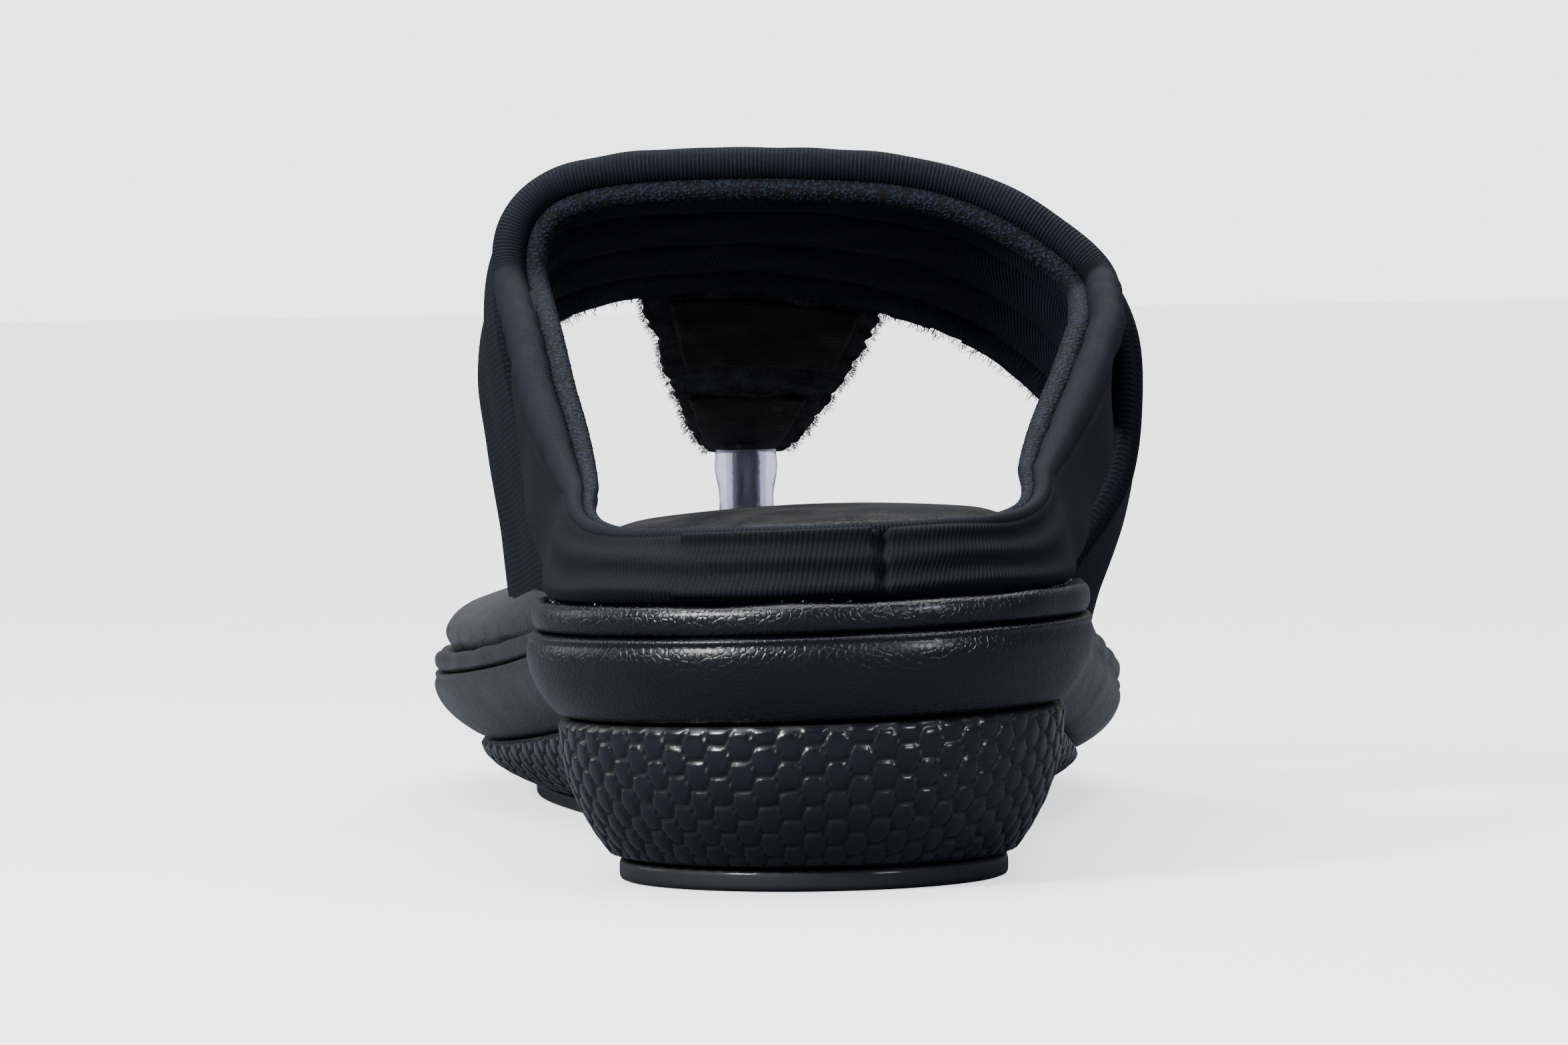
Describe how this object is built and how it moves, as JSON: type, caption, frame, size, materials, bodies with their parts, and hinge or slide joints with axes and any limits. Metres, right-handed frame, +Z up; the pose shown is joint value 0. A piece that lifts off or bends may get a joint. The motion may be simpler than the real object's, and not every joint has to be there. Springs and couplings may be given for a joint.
{
  "type": "flip flop",
  "caption": "Cushioned thong sandal with a wedge sole, clear toe post, padded instep band and an elastic heel sling that swings up behind the ankle.",
  "frame": {"origin": "point on the ground under the centre of the heel's round end, on the tread", "axes": "+Z up, +Y from the heel towards the toes, +X towards the little toe side of this right shoe"},
  "size_m": [0.0974, 0.2572, 0.0895],
  "materials": {
    "tread_rubber": "matt moulded rubber",
    "grip_rubber": "semi-gloss moulded rubber with raised hexagon pads",
    "sole_leather": "satin polyurethane leather, fine grain",
    "footbed_leather": "grained satin polyurethane leather",
    "fibreboard": "matt fibre board",
    "pad_foam": "open-cell foam",
    "outer_knit": "fine blue-black knit",
    "ribbed_lining": "finely ribbed lining",
    "looped_yarn": "looped yarn with a soft shine",
    "felt": "fuzzy grey felt",
    "reinforcing_tape": "smooth black woven tape",
    "elastic": "woven elastic",
    "clear_tpu": "clear glossy TPU",
    "post_webbing": "dark woven webbing",
    "nylon": "moulded nylon"
  },
  "bodies": {
    "shoe": {"tread": "tread_rubber", "outsole": "grip_rubber", "midsole": "sole_leather", "rim": "sole_leather", "insole_board": "fibreboard", "footbed_foam": "pad_foam", "footbed_cover": "footbed_leather", "toe_post_washer": "nylon", "toe_post_core": "post_webbing", "toe_post_sleeve": "clear_tpu", "band_shell": "outer_knit", "band_foam": "pad_foam", "band_lining": "ribbed_lining", "collar_roll": "outer_knit", "lining_roll": "looped_yarn", "tongue_shell": "outer_knit", "tongue_felt": "felt", "tongue_tape_upper": "reinforcing_tape", "tongue_tape_lower": "reinforcing_tape"},
    "heel_sling": {"sling_sleeve_medial": "outer_knit", "sling_sleeve_lateral": "outer_knit", "sling_elastic": "elastic", "sling_lining": "ribbed_lining", "back_patch": "outer_knit"}
  },
  "joints": [
    {"name": "sling_lift", "type": "hinge", "parent": "shoe", "child": "heel_sling", "pos_m": [0, 0.078, 0.062], "axis": [-1, 0, 0], "range_deg": [0, 30]}
  ]
}
